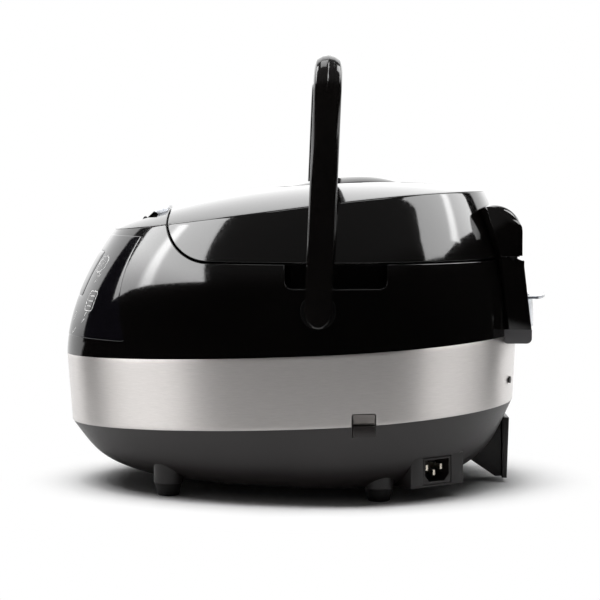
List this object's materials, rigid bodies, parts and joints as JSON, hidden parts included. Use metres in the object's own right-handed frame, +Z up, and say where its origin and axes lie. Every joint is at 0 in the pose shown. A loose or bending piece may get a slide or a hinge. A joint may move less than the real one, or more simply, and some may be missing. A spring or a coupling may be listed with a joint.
{
  "type": "rice cooker",
  "caption": "Egg-shaped electric multicooker with a steel waistband, hinged lid, upright bail handle, sloping control panel, steam valve and rear condensate cup.",
  "frame": {"origin": "on the floor, under the centre of the overall outline", "axes": "+Z up; the control panel faces -Y and the lid hinge lies at +Y; X runs along the hinge axis"},
  "size_m": [0.31, 0.376, 0.3283],
  "materials": {
    "housing_gloss": "polished black",
    "lid_gloss": "polished black",
    "base_satin": "satin dark grey",
    "band_steel": "brushed lengthwise",
    "foot_rubber": "matte black",
    "panel_smoked": "smoked, polished",
    "display_smoked": "dark, polished",
    "button_cap": "polished, metallic lacquer",
    "handle_gloss": "polished black",
    "inlet_plastic": "satin black",
    "holder_grey": "satin grey",
    "cup_clear": "clear plastic, polished",
    "liner_plastic": "satin black",
    "plate_aluminium": "satin",
    "pot_coating": "dark non-stick coating",
    "plain_steel": "bare sheet steel",
    "spring_steel": "bright",
    "plated_steel": "zinc plated",
    "brass_terminal": "bright",
    "seal_silicone": "milky, matte",
    "ceramic_white": "unglazed",
    "board_green": "solder resist",
    "wire_red": "insulated",
    "lever_plastic": "natural acetal",
    "bushing_plastic": "acetal",
    "sensor_cap": "satin"
  },
  "bodies": {
    "body": {"base_shell": "base_satin", "rubber_feet": "foot_rubber", "rear_leg": "base_satin", "power_inlet": "inlet_plastic", "inlet_pins": "brass_terminal", "holder_socket": "inlet_plastic", "steel_band": "band_steel", "band_screws": "base_satin", "upper_housing": "housing_gloss", "pot_rim_ring": "plain_steel", "heat_shield": "plate_aluminium", "plate_spacers": "ceramic_white", "heating_plate": "plate_aluminium", "heater_terminals": "brass_terminal", "sensor_spring": "spring_steel", "sensor_bracket": "plain_steel", "thermal_fuse": "ceramic_white", "power_board": "board_green", "control_board": "board_green", "board_wiring": "wire_red", "inner_pot": "pot_coating", "control_panel": "panel_smoked", "display_window": "display_smoked", "button_springs": "spring_steel", "latch_pin": "plated_steel", "hinge_housing": "housing_gloss", "hinge_pin": "plated_steel", "hinge_spring": "spring_steel", "condensate_holder": "holder_grey", "handle_bushings": "bushing_plastic", "base_screws": "plated_steel"},
    "lid": {"lid_cover": "lid_gloss", "lid_liner": "liner_plastic", "inner_lid_plate": "plate_aluminium", "lid_gasket": "seal_silicone", "plate_knob": "seal_silicone", "lid_sensor": "sensor_cap", "lid_screws": "plated_steel", "lid_catch": "plated_steel", "valve_body": "liner_plastic", "valve_gasket": "seal_silicone", "hinge_cover": "lid_gloss", "hinge_bracket": "plated_steel"},
    "handle": {"carry_handle": "handle_gloss", "handle_clips": "spring_steel"},
    "button": {"release_button": "button_cap"},
    "latch": {"latch_lever": "lever_plastic"},
    "valve": {"valve_cap": "lid_gloss"},
    "cup": {"condensate_cup": "cup_clear"},
    "sensor": {"temperature_sensor": "sensor_cap"}
  },
  "joints": [
    {"name": "lid_open", "type": "hinge", "parent": "body", "child": "lid", "pos_m": [0, 0.158, 0.1785], "axis": [-1, 0, 0], "range_deg": [0, 24]},
    {"name": "handle_swing", "type": "hinge", "parent": "body", "child": "handle", "pos_m": [0, 0.0085, 0.1435], "axis": [-1, 0, 0], "range_deg": [-6, 78]},
    {"name": "button_press", "type": "slide", "parent": "body", "child": "button", "axis": [0, 0, -1], "range_m": [0, 0.0032], "stiffness_N_per_m": 900, "springref_m": -0.001, "deforming": ["button_springs"]},
    {"name": "latch_turn", "type": "hinge", "parent": "body", "child": "latch", "pos_m": [0, -0.114, 0.187], "axis": [1, 0, 0], "range_deg": [0, 16.5]},
    {"name": "valve_lift", "type": "slide", "parent": "lid", "child": "valve", "axis": [0, 0, 1], "range_m": [0, 0.02]},
    {"name": "cup_slide", "type": "slide", "parent": "body", "child": "cup", "axis": [0, 1, 0], "range_m": [0, 0.04]},
    {"name": "sensor_plunge", "type": "slide", "parent": "body", "child": "sensor", "axis": [0, 0, -1], "range_m": [0, 0.0025], "stiffness_N_per_m": 900, "springref_m": -0.002, "deforming": ["sensor_spring"]}
  ],
  "couplings": [
    {"joint": "latch_turn", "follows": "button_press", "rad_per_m": 89.9}
  ]
}
